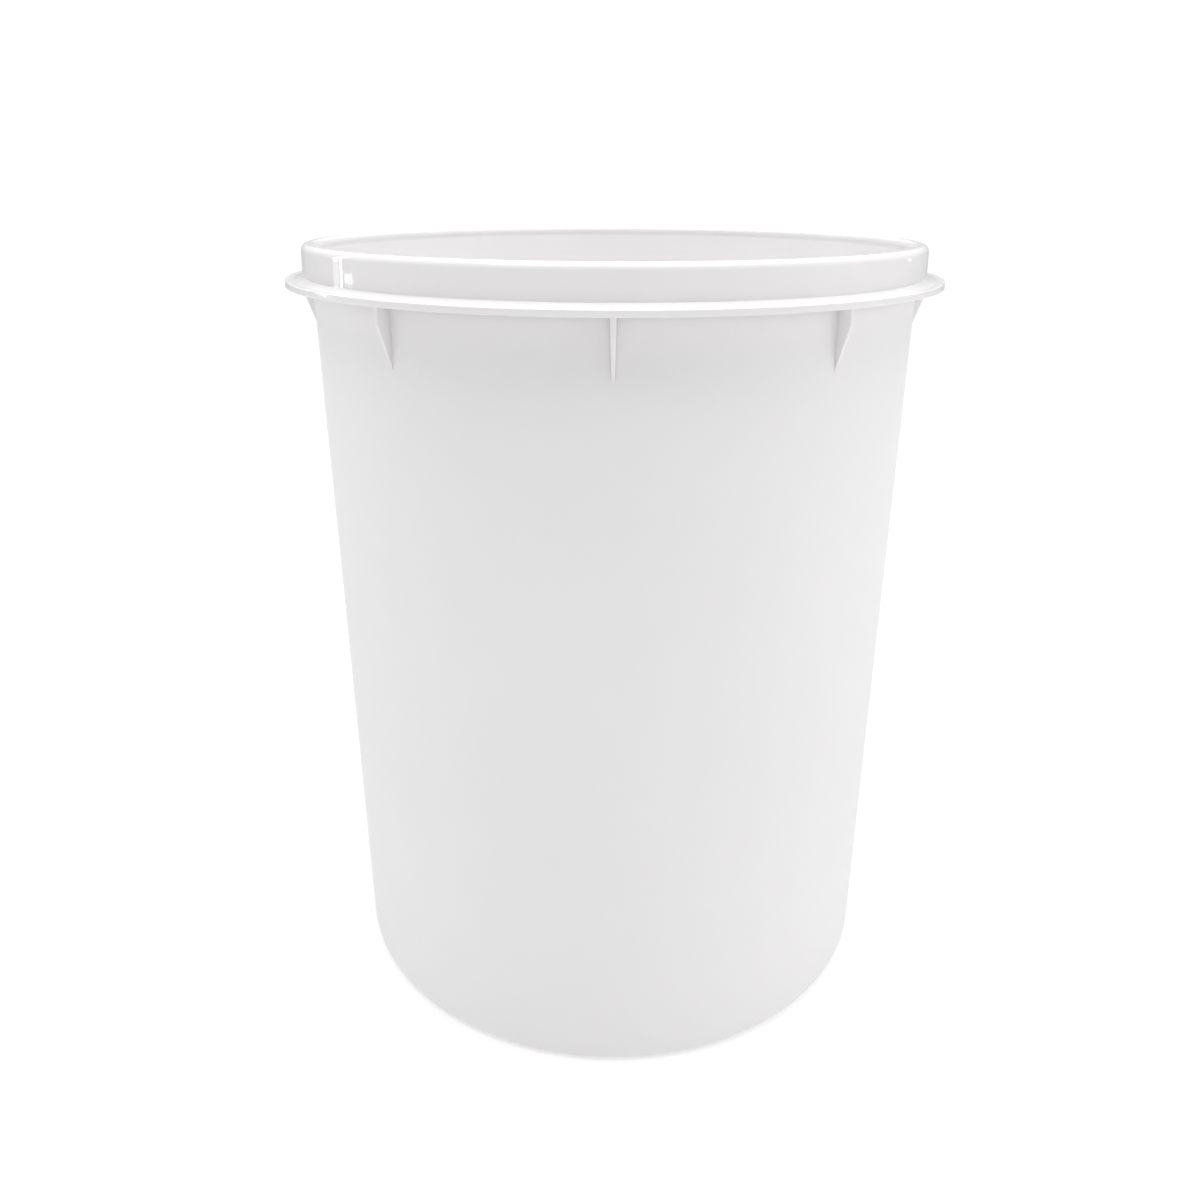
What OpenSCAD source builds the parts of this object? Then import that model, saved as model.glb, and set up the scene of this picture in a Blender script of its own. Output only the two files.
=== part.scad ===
// Open plastic fermenting bucket of about 30 litres: a tapered round pail with a collar for
// a press-on lid, a stop flange below the collar and small gussets under the flange.
// Millimetres. Z = 0 is the surface that it stands on, and -Y is its front.
// Each node is one region of the moulding, and neighbouring regions meet face to face.

/* [Body] */
// Height from the ground to the top of the rim
height = 407; // [380:1:430]
// Outside radius of the wall, carried down to the ground
base_r = 150; // [147:0.5:153]
// Outside radius of the wall at the underside of the flange
shoulder_r = 162.2; // [161:0.1:163]
// Thickness of the wall
wall_t = 2.2; // [1.8:0.1:2.4]

/* [Base] */
// Outside radius of the rounded bottom edge
heel_round = 5; // [4:0.5:6]
// Radius of the fillet between the floor and the wall, inside
cove_round = 8; // [6:0.5:9]
// Width of the flat ring that it stands on
foot_w = 8; // [8:0.5:12]
// Height of the floor's underside above the ground
floor_lift = 2.6; // [2:0.1:4]
// Thickness of the floor
floor_t = 2.8; // [2.2:0.1:3.2]

/* [Rim] */
// Outside radius of the collar that the lid presses over
collar_r = 167; // [166.8:0.1:168]
// Thickness of the collar's skirt
collar_t = 2; // [1.6:0.1:2.2]
// How far the lip stands proud of the wall's inside face
lip_bead = 0.7; // [0.4:0.1:1]
// Drop from the top of the rim to the flange's upper face
flange_drop = 18; // [16:0.5:24]
// Outside radius of the stop flange
flange_r = 176; // [173:0.5:180]
// Thickness of the stop flange
flange_t = 3.2; // [2:0.1:3.5]

/* [Gussets] */
// Height of a gusset below the flange
gusset_h = 30; // [20:1:40]
// How far a gusset stands out from the wall under the flange
gusset_reach = 7; // [6:0.1:8]
// Height of a gusset's upright outer edge, above its slant
gusset_edge_h = 8; // [3:0.5:12]
// How far a gusset runs up into the groove behind the collar
gusset_root_h = 8; // [4:0.5:9]
// Thickness of a gusset at its top
gusset_t = 2.8; // [2.2:0.1:3.4]
// Thickness of a gusset at its tip
gusset_tip_t = 1.4; // [1:0.1:2]
// Angle from the front gusset to the next one on either side
front_pair_a = 38; // [30:1:42]
// Angle from the front gusset to the one at each side
side_pair_a = 84; // [78:1:92]
// Angle from the front gusset to the rear one on either side
back_pair_a = 132; // [125:1:145]

/* [Hidden] */
$fn = 96;

white_satin = [0.91, 0.905, 0.9];
white_gloss = [0.94, 0.935, 0.93];
// How far a cutting shape runs past the face that it cuts
past = 1;

flange_top = height - flange_drop;
flange_under = flange_top - flange_t;

// The wall leans out by this much for each millimetre of height
lean = (shoulder_r - base_r) / flange_under;
draft = atan(lean);
function wall_out(z) = base_r + lean * z;
function wall_in(z) = wall_out(z) - wall_t;

// The heel is an arc that touches the ground and the wall's outside face
heel_x = base_r + heel_round * lean - heel_round / cos(draft);
heel_touch = [heel_x + heel_round * cos(draft), heel_round * (1 - sin(draft))];
foot_in = heel_x - foot_w;
foot_slope = 1.5;
floor_r = foot_in - foot_slope;
floor_top = floor_lift + floor_t;

// The cove is an arc that touches the floor and the wall's inside face
cove_z = floor_top + cove_round;
cove_x = wall_in(cove_z) - cove_round / cos(draft);
foot_h = cove_z + 2;

// The lip is a half round as wide as the collar, the groove behind it and the wall together
lip_in = wall_in(height) - lip_bead;
lip_round = (collar_r - lip_in) / 2;
lip_x = collar_r - lip_round;
lip_seat = height - lip_round;
groove_r = collar_r - collar_t;
groove_top = lip_seat - 2.2;
bead_low = groove_top + lip_bead;

// A gusset's outer edge, and the depth to which its outline is carried into the wall
gusset_x = wall_out(flange_under) + gusset_reach;
gusset_edge_z = flange_under - gusset_edge_h;
gusset_tip_z = flange_under - gusset_h;
gusset_top_z = flange_under + gusset_root_h;
gusset_slant = (gusset_edge_z - gusset_tip_z) / (gusset_x - wall_out(gusset_tip_z));
gusset_foot = [wall_out(gusset_tip_z) - past, gusset_tip_z - past * gusset_slant];

module disc_at(x, z, r) {
    translate([x, z])
        circle(r = r);
}

module ring(outer, inner, h) {
    difference() {
        cylinder(h = h, r = outer);
        translate([0, 0, -past])
            cylinder(h = h + 2 * past, r = inner);
    }
}

module side_wall() {
    color(white_satin)
        rotate_extrude()
            polygon([
                [wall_in(foot_h), foot_h],
                [wall_out(foot_h), foot_h],
                [wall_out(groove_top), groove_top],
                [wall_in(groove_top), groove_top]
            ]);
}

module foot_ring() {
    color(white_satin)
        rotate_extrude()
            difference() {
                union() {
                    disc_at(heel_x, heel_round, heel_round);
                    polygon([
                        [floor_r, floor_lift],
                        [foot_in, 0],
                        [heel_x, 0],
                        [heel_x, heel_round],
                        heel_touch,
                        [wall_out(foot_h), foot_h],
                        [wall_in(foot_h), foot_h],
                        [wall_in(cove_z), cove_z],
                        [cove_x, cove_z],
                        [cove_x, floor_top],
                        [floor_r, floor_top]
                    ]);
                }
                disc_at(cove_x, cove_z, cove_round);
            }
}

module base_floor() {
    color(white_satin)
        translate([0, 0, floor_lift])
            cylinder(h = floor_t, r = floor_r);
}

module rim_lip() {
    color(white_gloss)
        rotate_extrude()
            union() {
                intersection() {
                    disc_at(lip_x, lip_seat, lip_round);
                    translate([lip_in - past, lip_seat])
                        square([2 * (lip_round + past), lip_round + past]);
                }
                polygon([
                    [lip_in, lip_seat],
                    [lip_in, bead_low],
                    [wall_in(groove_top), groove_top],
                    [groove_r, groove_top],
                    [groove_r, lip_seat]
                ]);
            }
}

module lid_collar() {
    color(white_gloss)
        translate([0, 0, flange_top])
            ring(collar_r, groove_r, lip_seat - flange_top);
}

module stop_flange() {
    color(white_gloss)
        translate([0, 0, flange_under])
            ring(flange_r, groove_r, flange_t);
}

// The space that the wall fills, which a gusset's root is cut back to
module wall_space() {
    rotate_extrude()
        polygon([
            [0, gusset_foot[1] - past],
            [wall_out(gusset_foot[1] - past), gusset_foot[1] - past],
            [wall_out(gusset_top_z + past), gusset_top_z + past],
            [0, gusset_top_z + past]
        ]);
}

// Below the flange a gusset is a slanted fin, and above it a rib across the groove.
module gusset_outline() {
    polygon([
        gusset_foot,
        [gusset_x, gusset_edge_z],
        [gusset_x, flange_under],
        [groove_r, flange_under],
        [groove_r, gusset_top_z],
        [gusset_foot[0], gusset_top_z]
    ]);
}

module gusset_taper() {
    polygon([
        [-gusset_tip_t / 2, gusset_foot[1]],
        [gusset_tip_t / 2, gusset_foot[1]],
        [gusset_t / 2, flange_under],
        [gusset_t / 2, gusset_top_z],
        [-gusset_t / 2, gusset_top_z],
        [-gusset_t / 2, flange_under]
    ]);
}

// Angles run from the front, positive towards +X.
module gusset(angle) {
    color(white_satin)
        rotate([0, 0, angle - 90])
            difference() {
                intersection() {
                    rotate([90, 0, 0])
                        linear_extrude(height = 2 * gusset_t, center = true)
                            gusset_outline();
                    rotate([90, 0, 90])
                        linear_extrude(height = gusset_x + past)
                            gusset_taper();
                }
                wall_space();
            }
}

side_wall();
foot_ring();
base_floor();
rim_lip();
lid_collar();
stop_flange();
gusset(0);  // gusset_front
gusset(front_pair_a);  // gusset_front_right
gusset(side_pair_a);  // gusset_right
gusset(back_pair_a);  // gusset_back_right
gusset(180);  // gusset_back
gusset(-back_pair_a);  // gusset_back_left
gusset(-side_pair_a);  // gusset_left
gusset(-front_pair_a);  // gusset_front_left
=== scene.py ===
"""Looks for the open white fermenting bucket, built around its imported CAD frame.

Lengths are in metres, and -Y is the bucket's front."""
import math

import bmesh
import bpy
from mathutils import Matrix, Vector


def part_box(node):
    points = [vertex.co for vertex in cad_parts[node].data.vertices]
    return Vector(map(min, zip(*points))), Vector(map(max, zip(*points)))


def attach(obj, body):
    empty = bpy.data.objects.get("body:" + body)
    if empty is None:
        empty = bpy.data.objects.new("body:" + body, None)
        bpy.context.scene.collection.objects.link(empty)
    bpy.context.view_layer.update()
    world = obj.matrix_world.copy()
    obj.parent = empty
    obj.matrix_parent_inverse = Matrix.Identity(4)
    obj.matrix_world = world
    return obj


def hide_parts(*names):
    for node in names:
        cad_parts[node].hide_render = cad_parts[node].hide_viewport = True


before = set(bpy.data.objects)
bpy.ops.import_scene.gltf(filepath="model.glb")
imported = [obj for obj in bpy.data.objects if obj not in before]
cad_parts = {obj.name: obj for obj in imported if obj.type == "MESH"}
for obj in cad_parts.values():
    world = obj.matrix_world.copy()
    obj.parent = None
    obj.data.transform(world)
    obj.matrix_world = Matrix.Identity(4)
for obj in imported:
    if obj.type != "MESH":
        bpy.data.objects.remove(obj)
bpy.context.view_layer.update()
MM = 0.001


# ---------------------------------------------------------------- sizes from the frame

def reach(node):
    """The largest radius that a node of the round body reaches."""
    low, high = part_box(node)
    return max(high.x, high.y, -low.x, -low.y)


def span(node):
    """The heights at which a node starts and ends."""
    low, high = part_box(node)
    return low.z, high.z


WALL_LOW, WALL_TOP = span("side_wall")
COLLAR_LOW, LIP_SEAT = span("lid_collar")
FLANGE_LOW, FLANGE_TOP = span("stop_flange")
FLOOR_LOW, FLOOR_TOP = span("base_floor")
RIM_TOP = span("rim_lip")[1]
GUSSET_TIP, GUSSET_TOP = span("gusset_front")

COLLAR_R = reach("lid_collar")
FLANGE_R = reach("stop_flange")
FLOOR_R = reach("base_floor")
GUSSET_R = -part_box("gusset_front")[0].y
WALL_R = reach("side_wall")
LEAN = (WALL_R - reach("foot_ring")) / (WALL_TOP - WALL_LOW)
DRAFT = math.atan(LEAN)


# ---------------------------------------------------------------- sizes as in part.scad

WALL_T = 2.2 * MM
COLLAR_T = 2 * MM
HEEL_ROUND = 5 * MM
COVE_ROUND = 8 * MM
FOOT_W = 8 * MM
GUSSET_EDGE_H = 8 * MM
GUSSET_T = 2.8 * MM
GUSSET_TIP_T = 1.4 * MM

GROOVE_R = COLLAR_R - COLLAR_T
LIP_ROUND = RIM_TOP - LIP_SEAT
LIP_X = COLLAR_R - LIP_ROUND
LIP_IN = LIP_X - LIP_ROUND


# ---------------------------------------------------------------- sizes of the finer shapes

# The lip's inside edge, the upright face below it, and the bead's end above the wall's top
INNER_ROUND = 2.4 * MM
BEAD_FACE = 0.6 * MM
BEAD_END = 0.2 * MM

# The slope from the flange to the collar, its roundings, and the seam above it
SLOPE_W = 5 * MM
SLOPE_H = 1.7 * MM
SLOPE_ROUND = 5 * MM
ROOT_ROUND = 0.45 * MM
ROOT_H = 3.2 * MM
EDGE_TOP = 0.4 * MM
EDGE_LOW = 0.3 * MM

# The gate mark is a nub in a round recess, with a faint ring further out
GATE_NUB_R = 1.1 * MM
GATE_NUB_FLANK = 0.3 * MM
GATE_R = 6 * MM
GATE_FLANK = 0.7 * MM
GATE_DEPTH = 0.5 * MM
RING_R = 46 * MM
RING_W = 2 * MM
RING_FLANK = 0.4 * MM
MARK_PROUD = 0.3 * MM

# Roundings of a gusset, the most of its height or thickness that they take up, the least
# that it stands proud, and how far it runs into the wall so that no gap shows
GUSSET_FILLET = 0.5 * MM
GUSSET_EDGE = 0.55 * MM
FILLET_SHARE = 0.45
EDGE_SHARE = 0.5
GUSSET_THIN = 0.12 * MM
SUNK = 0.05 * MM

# Steps around every turned piece
AROUND = 384


def wall_out(z):
    """The radius of the wall's outside face at a height."""
    return WALL_R + LEAN * (z - WALL_TOP)


def wall_in(z):
    """The radius of the wall's inside face at a height."""
    return wall_out(z) - WALL_T


# ---------------------------------------------------------------- outlines and meshes

def arc(cx, cz, r, start, end, steps):
    """Points of an arc in (radius, height), by angle in degrees from +radius."""
    angles = [math.radians(start + (end - start) * i / steps) for i in range(steps + 1)]
    return [(cx + r * math.cos(a), cz + r * math.sin(a)) for a in angles]


def line(a, b, steps):
    """Evenly spaced points from a to b, without a."""
    return [(a[0] + (b[0] - a[0]) * i / steps, a[1] + (b[1] - a[1]) * i / steps)
            for i in range(1, steps + 1)]


def rounded(points, radii, steps):
    """A closed outline with each corner rounded by its own radius."""
    out = []
    count = len(points)
    for i, corner in enumerate(points):
        r = radii[i]
        here = Vector(corner)
        if r <= 0:
            out.append(tuple(here))
            continue
        back = (Vector(points[i - 1]) - here).normalized()
        ahead = (Vector(points[(i + 1) % count]) - here).normalized()
        half = back.angle(ahead) / 2
        cut = r / math.tan(half)
        centre = here + (back + ahead).normalized() * (r / math.sin(half))
        first = here + back * cut - centre
        last = here + ahead * cut - centre
        # A signed angle counts clockwise here, so the spoke turns by its negative
        turn = first.angle_signed(last)
        for k in range(steps + 1):
            a = -turn * k / steps
            spoke = Vector((first.x * math.cos(a) - first.y * math.sin(a),
                            first.x * math.sin(a) + first.y * math.cos(a)))
            out.append(tuple(centre + spoke))
    return out


def finish_mesh(name, bm, crease_deg):
    """Turns a bmesh into a smooth-shaded object whose edges over crease_deg stay sharp."""
    bmesh.ops.recalc_face_normals(bm, faces=bm.faces)
    limit = math.radians(crease_deg)
    for edge in bm.edges:
        if len(edge.link_faces) == 2 and edge.calc_face_angle() > limit:
            edge.smooth = False
    for face in bm.faces:
        face.smooth = True
    mesh = bpy.data.meshes.new(name)
    bm.to_mesh(mesh)
    bm.free()
    piece = bpy.data.objects.new(name, mesh)
    bpy.context.scene.collection.objects.link(piece)
    return piece


def lathe(name, outline, closed=True):
    """A piece turned around +Z from an outline of (radius, height) points.

    An outline that isn't closed starts and ends on the axis."""
    bm = bmesh.new()
    turns = [2 * math.pi * i / AROUND for i in range(AROUND)]
    rings = []
    for r, z in outline:
        if r < 1e-6:
            rings.append([bm.verts.new((0, 0, z))])
        else:
            rings.append([bm.verts.new((r * math.cos(t), r * math.sin(t), z)) for t in turns])
    bands = len(rings) if closed else len(rings) - 1
    for k in range(bands):
        a, b = rings[k], rings[(k + 1) % len(rings)]
        for i in range(AROUND):
            j = (i + 1) % AROUND
            corners = [a[i % len(a)], a[j % len(a)], b[j % len(b)], b[i % len(b)]]
            # A ring on the axis is one point, which a face may hold only once
            bm.faces.new([v for n, v in enumerate(corners) if v not in corners[:n]])
    return finish_mesh(name, bm, crease_deg=35)


# ---------------------------------------------------------------- materials

# Linear colours between which the white drifts, and the ranges of roughness
BODY_TINTS = (0.804, 0.792, 0.799), (0.819, 0.807, 0.814)
# The fins' range is a step lighter than the body's: painted light that lifts the gussets' faces out of the
# flange's shade
FIN_PAINTED_LIGHT_TINTS = (0.819, 0.807, 0.814), (0.834, 0.822, 0.829)
SATIN_ROUGH = 0.36, 0.44
GLOSS_ROUGH = 0.012, 0.022

# Noise scales, per metre: cloudy tint, patches of roughness, slow waviness and fine grain
CLOUD_SCALE = 9
PATCH_SCALE = 26
WAVE_SCALE = 16
GRAIN_SCALE = 1400

WAVE_DEPTH = 0.0006
GRAIN_DEPTH = 0.00008
POLYETHYLENE_IOR = 1.54
SCATTER_COLOUR = 1.0, 0.97, 0.95
SCATTER_SCALE = 0.004

# The part of a noise's range that is spread over the whole of a result
NOISE_LOW = 0.3
NOISE_HIGH = 0.7


def set_inputs(node, values):
    """Sets a node's own sockets from a dictionary of name and value."""
    for socket, value in values.items():
        node.inputs[socket].default_value = value


def new_material(name):
    """A new node material and its shader."""
    mat = bpy.data.materials.new(name)
    mat.use_nodes = True
    return mat, mat.node_tree.nodes["Principled BSDF"]


def noise(tree, coords, scale, detail, rough):
    """A noise over the given coordinates."""
    node = tree.nodes.new("ShaderNodeTexNoise")
    set_inputs(node, {"Scale": scale, "Detail": detail, "Roughness": rough})
    tree.links.new(coords, node.inputs["Vector"])
    return node.outputs["Fac"]


def ramp(tree, fac, low, high):
    """A noise spread over the range from low to high."""
    node = tree.nodes.new("ShaderNodeMapRange")
    set_inputs(node, {"From Min": NOISE_LOW, "From Max": NOISE_HIGH, "To Min": low, "To Max": high})
    tree.links.new(fac, node.inputs["Value"])
    return node.outputs["Result"]


def colour_mix(tree, fac, a, b):
    """A colour between a and b."""
    node = tree.nodes.new("ShaderNodeMix")
    node.data_type = "RGBA"
    set_inputs(node, {"A": (*a, 1), "B": (*b, 1)})
    tree.links.new(fac, node.inputs["Factor"])
    return node.outputs["Result"]


def bump(tree, height, distance, strength, normal=None):
    """A bumped normal, on top of another one if it is given."""
    node = tree.nodes.new("ShaderNodeBump")
    set_inputs(node, {"Distance": distance, "Strength": strength})
    tree.links.new(height, node.inputs["Height"])
    if normal is not None:
        tree.links.new(normal, node.inputs["Normal"])
    return node.outputs["Normal"]


def plastic(name, tints, roughness, grain, wave, depth):
    """White moulded polyethylene: faint cloudy tint, fine grain and a slow waviness.

    grain and wave are strengths from 0 to 1, and depth is the share of light that scatters
    below the surface."""
    mat, shader = new_material(name)
    tree = mat.node_tree
    coords = tree.nodes.new("ShaderNodeTexCoord").outputs["Object"]
    cloud = noise(tree, coords, CLOUD_SCALE, detail=4, rough=0.55)
    tint = colour_mix(tree, ramp(tree, cloud, 0, 1), *tints)
    tree.links.new(tint, shader.inputs["Base Color"])
    patch = noise(tree, coords, PATCH_SCALE, detail=3, rough=0.5)
    tree.links.new(ramp(tree, patch, *roughness), shader.inputs["Roughness"])
    fine = noise(tree, coords, GRAIN_SCALE, detail=2, rough=0.6)
    slow = noise(tree, coords, WAVE_SCALE, detail=1, rough=0.4)
    wavy = bump(tree, slow, WAVE_DEPTH, wave)
    grainy = bump(tree, fine, GRAIN_DEPTH, grain, wavy)
    tree.links.new(grainy, shader.inputs["Normal"])
    set_inputs(shader, {
        "IOR": POLYETHYLENE_IOR,
        "Subsurface Weight": depth,
        "Subsurface Radius": SCATTER_COLOUR,
        "Subsurface Scale": SCATTER_SCALE,
    })
    return mat


SATIN = plastic("satin_white_pe", BODY_TINTS, SATIN_ROUGH, grain=0.5, wave=0.12, depth=0)
# The gussets get the same white made lighter, painted light standing in for the light their shaded faces
# lack
FIN_PAINTED_LIGHT = plastic("fin_white_pe_painted_light", FIN_PAINTED_LIGHT_TINTS, SATIN_ROUGH, grain=0.5, wave=0.12, depth=0.2)
GLOSS = plastic("gloss_white_pe", BODY_TINTS, GLOSS_ROUGH, grain=0.003, wave=0.01, depth=0)


# ---------------------------------------------------------------- the body

def make_wall():
    """The leaning wall, from the foot ring's top to the lip."""
    low_out, top_out = (wall_out(WALL_LOW), WALL_LOW), (wall_out(WALL_TOP), WALL_TOP)
    low_in, top_in = (wall_in(WALL_LOW), WALL_LOW), (wall_in(WALL_TOP), WALL_TOP)
    outline = [low_out] + line(low_out, top_out, steps=60)
    outline += [top_in] + line(top_in, low_in, steps=60)
    return lathe("side_wall_skin", outline)


def make_foot():
    """The standing ring, with the round heel outside and the cove inside."""
    heel_x = wall_out(HEEL_ROUND) - HEEL_ROUND / math.cos(DRAFT)
    cove_z = FLOOR_TOP + COVE_ROUND
    cove_x = wall_in(cove_z) - COVE_ROUND / math.cos(DRAFT)
    tilt = math.degrees(DRAFT)
    foot_in = (heel_x - FOOT_W, 0)
    top_out, top_in = (wall_out(WALL_LOW), WALL_LOW), (wall_in(WALL_LOW), WALL_LOW)
    cove = arc(cove_x, cove_z, COVE_ROUND, start=-tilt, end=-90, steps=14)
    outline = [(FLOOR_R, FLOOR_LOW), foot_in]
    outline += line(foot_in, (heel_x, 0), steps=4)[:-1]
    outline += arc(heel_x, HEEL_ROUND, HEEL_ROUND, start=-90, end=-tilt, steps=14)
    outline += line(outline[-1], top_out, steps=4)
    outline += [top_in] + line(top_in, cove[0], steps=2)
    outline += cove[1:] + [(FLOOR_R, FLOOR_TOP)]
    return lathe("foot_ring_skin", outline)


def make_floor():
    """A flat disc with the moulding's gate mark and one faint ring on its underside."""
    proud = FLOOR_LOW - MARK_PROUD
    recess = FLOOR_LOW + GATE_DEPTH
    ring_in, ring_out = RING_R - RING_W / 2, RING_R + RING_W / 2
    low_edge, top_edge = (FLOOR_R, FLOOR_LOW), (FLOOR_R, FLOOR_TOP)
    outline = [(0, proud), (GATE_NUB_R, proud)]
    outline += [(GATE_NUB_R + GATE_NUB_FLANK, recess), (GATE_R, recess)]
    outline += [(GATE_R + GATE_FLANK, FLOOR_LOW), (ring_in, FLOOR_LOW)]
    outline += [(ring_in + RING_FLANK, proud), (ring_out - RING_FLANK, proud)]
    outline += [(ring_out, FLOOR_LOW)]
    outline += line(outline[-1], low_edge, steps=16)
    outline += [top_edge] + line(top_edge, (0, FLOOR_TOP), steps=24)
    return lathe("base_floor_skin", outline, closed=False)


def make_lip():
    """A round lip over the collar's skirt, with a soft bead that stands proud inside."""
    bead_top = RIM_TOP - INNER_ROUND - BEAD_FACE
    bead_low = WALL_TOP + BEAD_END
    bead_steps = 12
    outline = arc(LIP_X, LIP_SEAT, LIP_ROUND, start=0, end=90, steps=28)
    outline += arc(LIP_IN + INNER_ROUND, RIM_TOP - INNER_ROUND, INNER_ROUND,
                   start=90, end=180, steps=16)
    for i in range(bead_steps + 1):
        ease = (1 - math.cos(math.pi * i / bead_steps)) / 2
        z = bead_top + (bead_low - bead_top) * i / bead_steps
        outline.append((LIP_IN + (wall_in(z) - LIP_IN) * ease, z))
    outline += [(wall_in(WALL_TOP), WALL_TOP), (GROOVE_R, WALL_TOP), (GROOVE_R, LIP_SEAT)]
    return lathe("rim_lip_skin", outline)


def make_collar():
    """The upright skirt between the seam above the flange's slope and the lip."""
    low_out, top_out = (COLLAR_R, COLLAR_LOW + ROOT_H), (COLLAR_R, LIP_SEAT)
    low_in, top_in = (GROOVE_R, COLLAR_LOW + ROOT_H), (GROOVE_R, LIP_SEAT)
    outline = [low_out] + line(low_out, top_out, steps=10)
    outline += [top_in] + line(top_in, low_in, steps=10)
    return lathe("lid_collar_skin", outline)


def make_flange():
    """The flange with rounded edges, and the slope by which it runs up into the collar."""
    points = [(GROOVE_R, FLANGE_LOW), (FLANGE_R, FLANGE_LOW), (FLANGE_R, FLANGE_TOP),
              (COLLAR_R + SLOPE_W, FLANGE_TOP), (COLLAR_R, FLANGE_TOP + SLOPE_H),
              (COLLAR_R, FLANGE_TOP + ROOT_H), (GROOVE_R, FLANGE_TOP + ROOT_H)]
    radii = [0, EDGE_LOW, EDGE_TOP, SLOPE_ROUND, ROOT_ROUND, 0, 0]
    return lathe("stop_flange_skin", rounded(points, radii, steps=8))


# ---------------------------------------------------------------- gussets

def gusset_section(proud, thick):
    """Half of a gusset's section as (sideways, proud of the wall) points, root first."""
    root = min(GUSSET_FILLET, FILLET_SHARE * proud)
    edge = min(GUSSET_EDGE, EDGE_SHARE * proud, EDGE_SHARE * thick)
    half = thick / 2
    points = [(half + root, -SUNK)]
    points += arc(half + root, root, root, start=270, end=180, steps=6)
    points += arc(half - edge, proud - edge, edge, start=0, end=90, steps=6)
    return points


def gusset_stations():
    """The heights of a gusset's sections, each with how far it stands proud of the wall."""
    tip = (GUSSET_TIP, wall_out(GUSSET_TIP))
    edge_low, edge_top = (FLANGE_LOW - GUSSET_EDGE_H, GUSSET_R), (FLANGE_LOW, GUSSET_R)
    fin = [tip] + line(tip, edge_low, steps=30) + line(edge_low, edge_top, steps=3)
    rib = [(FLANGE_LOW + SUNK, GROOVE_R), (GUSSET_TOP, GROOVE_R)]
    return [(z, max(r - wall_out(z), GUSSET_THIN)) for z, r in fin + rib]


def make_gusset(node, angle):
    """A slanted fin below the flange and a rib across the groove above it, as one loft."""
    out = Vector((math.sin(angle), -math.cos(angle), 0))
    side = Vector((math.cos(angle), math.sin(angle), 0))
    bm = bmesh.new()
    loops = []
    for z, proud in gusset_stations():
        share = min(1, (z - GUSSET_TIP) / (FLANGE_LOW - GUSSET_TIP))
        half = gusset_section(proud, GUSSET_TIP_T + (GUSSET_T - GUSSET_TIP_T) * share)
        section = [(-s, p) for s, p in half] + [(s, p) for s, p in reversed(half)]
        loop = []
        for s, p in section:
            r = math.sqrt(wall_out(z) ** 2 - s * s) + p
            loop.append(bm.verts.new(out * r + side * s + Vector((0, 0, z))))
        loops.append(loop)
    count = len(loops[0])
    for low, high in zip(loops, loops[1:]):
        for i in range(count):
            j = (i + 1) % count
            bm.faces.new((low[i], low[j], high[j], high[i]))
    bm.faces.new(loops[0])
    bm.faces.new(reversed(loops[-1]))
    return finish_mesh(node + "_skin", bm, crease_deg=40)


# ---------------------------------------------------------------- the pieces in place

def place(piece, material, slot, *nodes):
    """Gives a piece its material, and puts it in the place of its CAD nodes."""
    piece.data.materials.append(material)
    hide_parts(*nodes)
    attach(piece, "root")


place(make_wall(), SATIN, "satin_plastic", "side_wall")
place(make_foot(), SATIN, "satin_plastic", "foot_ring")
place(make_floor(), SATIN, "satin_plastic", "base_floor")
place(make_lip(), GLOSS, "gloss_plastic", "rim_lip")
place(make_collar(), GLOSS, "gloss_plastic", "lid_collar")
place(make_flange(), GLOSS, "gloss_plastic", "stop_flange")

for name in sorted(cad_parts):
    if name.startswith("gusset"):
        low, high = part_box(name)
        centre = (low + high) / 2
        place(make_gusset(name, math.atan2(centre.x, -centre.y)), FIN_PAINTED_LIGHT, "satin_plastic", name)


# ---------------------------------------------------------------- floor, walls and backdrop

WHITE = (1, 1, 1, 1)
BLACK = (0, 0, 0, 1)
NEAR_R = 1.35
FAR_R = 3.2
FAR_DROP = 0.01
STUDIO_WALL_H = 1.8
DOME_R = 1.02 * NEAR_R


def sheet(name, bm, shader_inputs):
    """A sheet of the stage, with the given values on its shader."""
    piece = finish_mesh(name, bm, crease_deg=30)
    mat, shader = new_material(name)
    set_inputs(shader, shader_inputs)
    piece.data.materials.append(mat)
    return piece


def glow_sheet(name, bm, strength):
    """A plain white sheet that gives off an even light of its own and casts no shadow."""
    piece = sheet(name, bm, {
        "Base Color": BLACK,
        "Emission Color": WHITE,
        "Emission Strength": strength,
    })
    piece.visible_shadow = False
    return piece


def disc(radius, z):
    """A flat round disc at a height."""
    bm = bmesh.new()
    bmesh.ops.create_circle(bm, cap_ends=True, segments=96, radius=radius)
    bmesh.ops.translate(bm, verts=bm.verts, vec=(0, 0, z))
    return bm


def make_stage():
    """A pale floor, its glow further out, pale walls for the gloss, and the camera's backdrop."""
    floor = sheet("studio_floor", disc(NEAR_R, 0), {
        "Base Color": (0.5, 0.5, 0.5, 1),
        "Roughness": 0.9,
        "Specular IOR Level": 0.1,
        "Emission Color": WHITE,
        "Emission Strength": 0.48,
    })
    floor.visible_glossy = False

    far_floor = glow_sheet("studio_far_floor", disc(FAR_R, -FAR_DROP), strength=0.9)
    far_floor.visible_camera = False

    wall_bm = bmesh.new()
    bmesh.ops.create_cone(wall_bm, segments=96, radius1=FAR_R, radius2=FAR_R, depth=STUDIO_WALL_H)
    bmesh.ops.translate(wall_bm, verts=wall_bm.verts, vec=(0, 0, STUDIO_WALL_H / 2 - FAR_DROP))
    walls = glow_sheet("studio_walls", wall_bm, strength=0.52)
    walls.visible_camera = walls.visible_diffuse = False

    dome_bm = bmesh.new()
    bmesh.ops.create_uvsphere(dome_bm, u_segments=64, v_segments=32, radius=DOME_R)
    dome = glow_sheet("studio_backdrop", dome_bm, strength=1.0)
    dome.visible_diffuse = dome.visible_glossy = dome.visible_transmission = False


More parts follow.
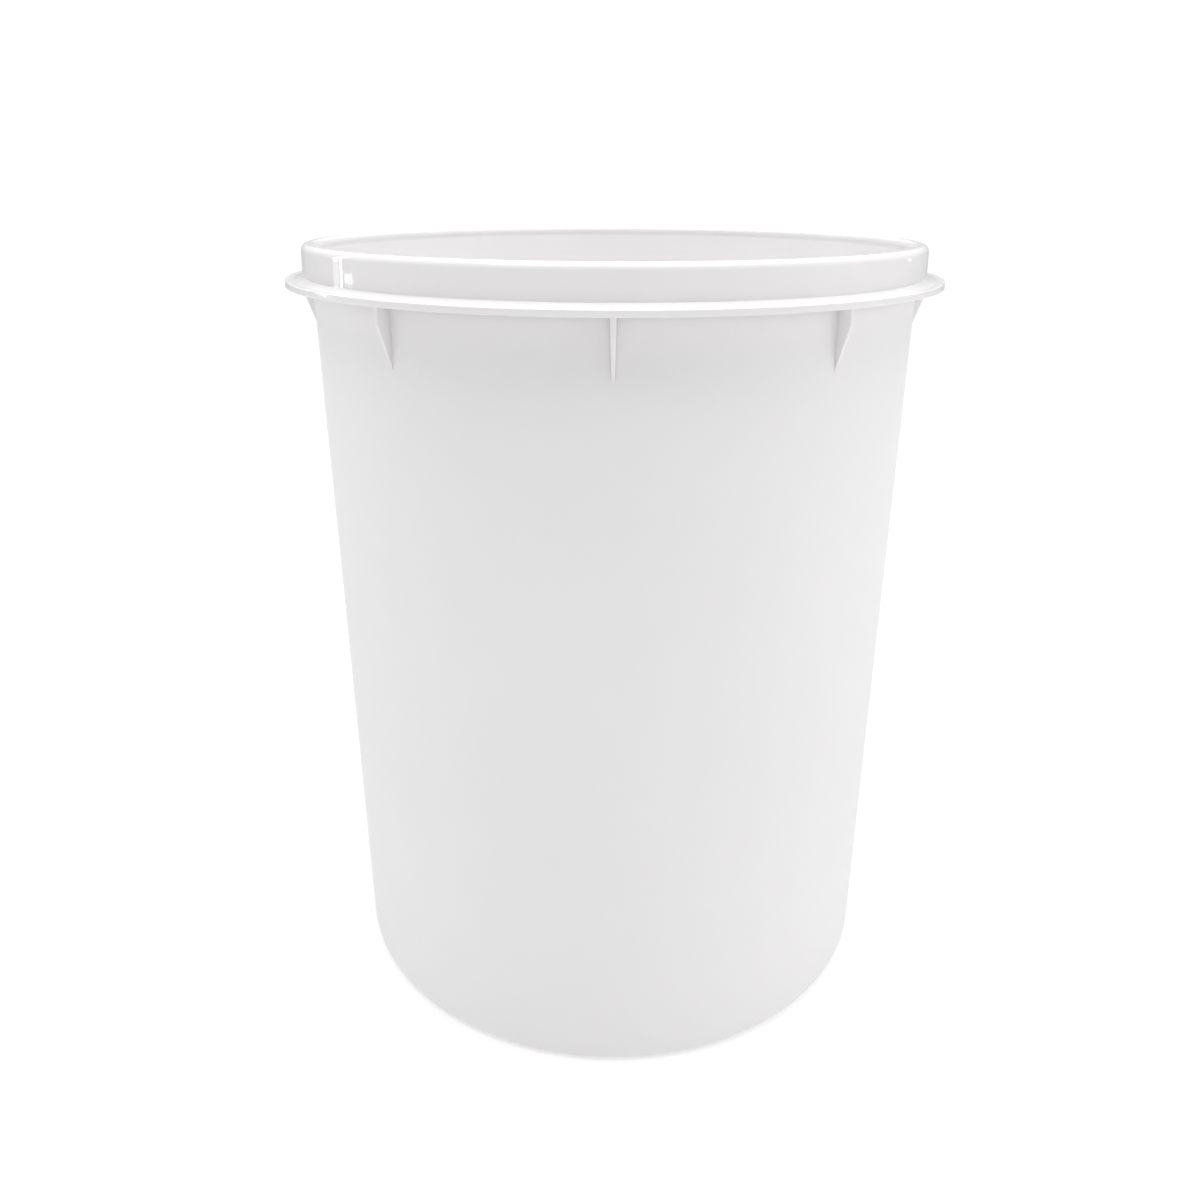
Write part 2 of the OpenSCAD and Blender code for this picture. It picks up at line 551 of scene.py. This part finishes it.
# ---------------------------------------------------------------- lights

# Where the windows show in the collar, seen from above and in collar radii
MIRROR_LEFT = (-0.745, -0.66)
MIRROR_RIGHT = (0.93, -0.37)
WINDOW_DISTANCE = 2.1


def make_world(strength):
    """An even white light from all round."""
    world = bpy.data.worlds.new("studio")
    bpy.context.scene.world = world
    world.use_nodes = True
    set_inputs(world.node_tree.nodes["Background"], {"Color": WHITE, "Strength": strength})


def make_glow(watts, share_of_height):
    """The light that a real bucket's thin white wall lets through to its inside."""
    data = bpy.data.lights.new("glow_inside", "POINT")
    data.energy = watts
    data.shadow_soft_size = 0.1
    lamp = bpy.data.objects.new("glow_inside", data)
    lamp.location = (0, 0, share_of_height * RIM_TOP)
    lamp.visible_camera = lamp.visible_glossy = False
    bpy.context.scene.collection.objects.link(lamp)


def area_light(name, stands_at, aims_at, size, radiance, mirrored=True):
    """A soft panel of the given size and radiance, which gloss mirrors or not."""
    data = bpy.data.lights.new(name, "AREA")
    data.shape = "RECTANGLE"
    data.size, data.size_y = size
    data.energy = radiance * math.pi * size[0] * size[1]
    lamp = bpy.data.objects.new(name, data)
    lamp.location = stands_at
    aim = Vector(aims_at) - Vector(stands_at)
    lamp.rotation_euler = aim.to_track_quat("-Z", "Y").to_euler()
    lamp.visible_camera = False
    lamp.visible_glossy = mirrored
    bpy.context.scene.collection.objects.link(lamp)


def window_strip(name, seen_at, bearing, spread, low, high, radiance):
    """An upright strip of window that the collar mirrors near seen_at.

    From there, bearing is its direction in degrees from +Y towards -X, spread its width in
    degrees, and low and high its elevations in degrees above the rim's height."""
    here = Vector((*seen_at, 0)) * COLLAR_R
    turn = math.radians(bearing)
    foot = here + Vector((-math.sin(turn), math.cos(turn), 0)) * WINDOW_DISTANCE
    wide = 2 * WINDOW_DISTANCE * math.tan(math.radians(spread) / 2)
    bottom, top = (RIM_TOP + WINDOW_DISTANCE * math.tan(math.radians(e)) for e in (low, high))
    middle = (bottom + top) / 2
    area_light(name, (foot.x, foot.y, middle), (here.x, here.y, middle),
               size=(wide, top - bottom), radiance=radiance)


make_stage()
make_world(strength=0.38)
make_glow(watts=0.19, share_of_height=0.72)
area_light("overhead", (0, 0.1, 2.1), (0, 0.1, 0), size=(2.4, 2.4), radiance=3.4)
area_light("front_fill", (0, -2.6, 0.62), (0, 0, 0.4), size=(3.0, 1.0), radiance=0.42, mirrored=False)
area_light("side_right", (2.2, -0.3, 0.75), (0, 0, 0.4), size=(2.2, 1.6), radiance=1.3, mirrored=False)
area_light("side_left", (-2.2, -0.5, 1.05), (0, 0, 0.3), size=(1.6, 1.4), radiance=1.0, mirrored=False)
window_strip("window_wide", MIRROR_LEFT, bearing=66.7, spread=3.9, low=-4.3, high=20, radiance=3.2)
window_strip("window_wide_sill", MIRROR_LEFT, bearing=66.7, spread=3.9, low=-6.5, high=-4.35, radiance=1.2)
window_strip("window_narrow", MIRROR_LEFT, bearing=70.3, spread=1.8, low=-6.5, high=20, radiance=3.6)
window_strip("window_pane", MIRROR_LEFT, bearing=75.1, spread=5.4, low=-5.75, high=-5.05, radiance=2.3)
window_strip("window_far", MIRROR_RIGHT, bearing=-54.5, spread=3, low=-4.2, high=-3.6, radiance=2.4)


# ---------------------------------------------------------------- camera

CAMERA_DISTANCE = 3.525 * COLLAR_R
CAMERA_LIFT = 0.189 * COLLAR_R
CAMERA_PITCH = 15.03
CAMERA_ROLL = -0.12
CAMERA_YAW = 0.75
SENSOR_WIDTH = 36

# Focal length and shift, as shares of the frame's width
FOCAL = 0.869167
FRAME_SHIFT = -0.116667


def make_camera():
    """The photograph's view: from the front, a little above the rim and tilted down."""
    data = bpy.data.cameras.new("camera")
    data.sensor_width = SENSOR_WIDTH
    data.lens = SENSOR_WIDTH * FOCAL
    data.shift_y = FRAME_SHIFT
    data.clip_start, data.clip_end = 0.01, 50
    cam = bpy.data.objects.new("camera", data)
    cam.location = (0, -CAMERA_DISTANCE, RIM_TOP + CAMERA_LIFT)
    cam.rotation_euler = [math.radians(a) for a in (90 - CAMERA_PITCH, CAMERA_ROLL, CAMERA_YAW)]
    bpy.context.scene.collection.objects.link(cam)
    bpy.context.scene.camera = cam


make_camera()

view = bpy.context.scene.view_settings
view.view_transform = "Standard"
view.look = "None"
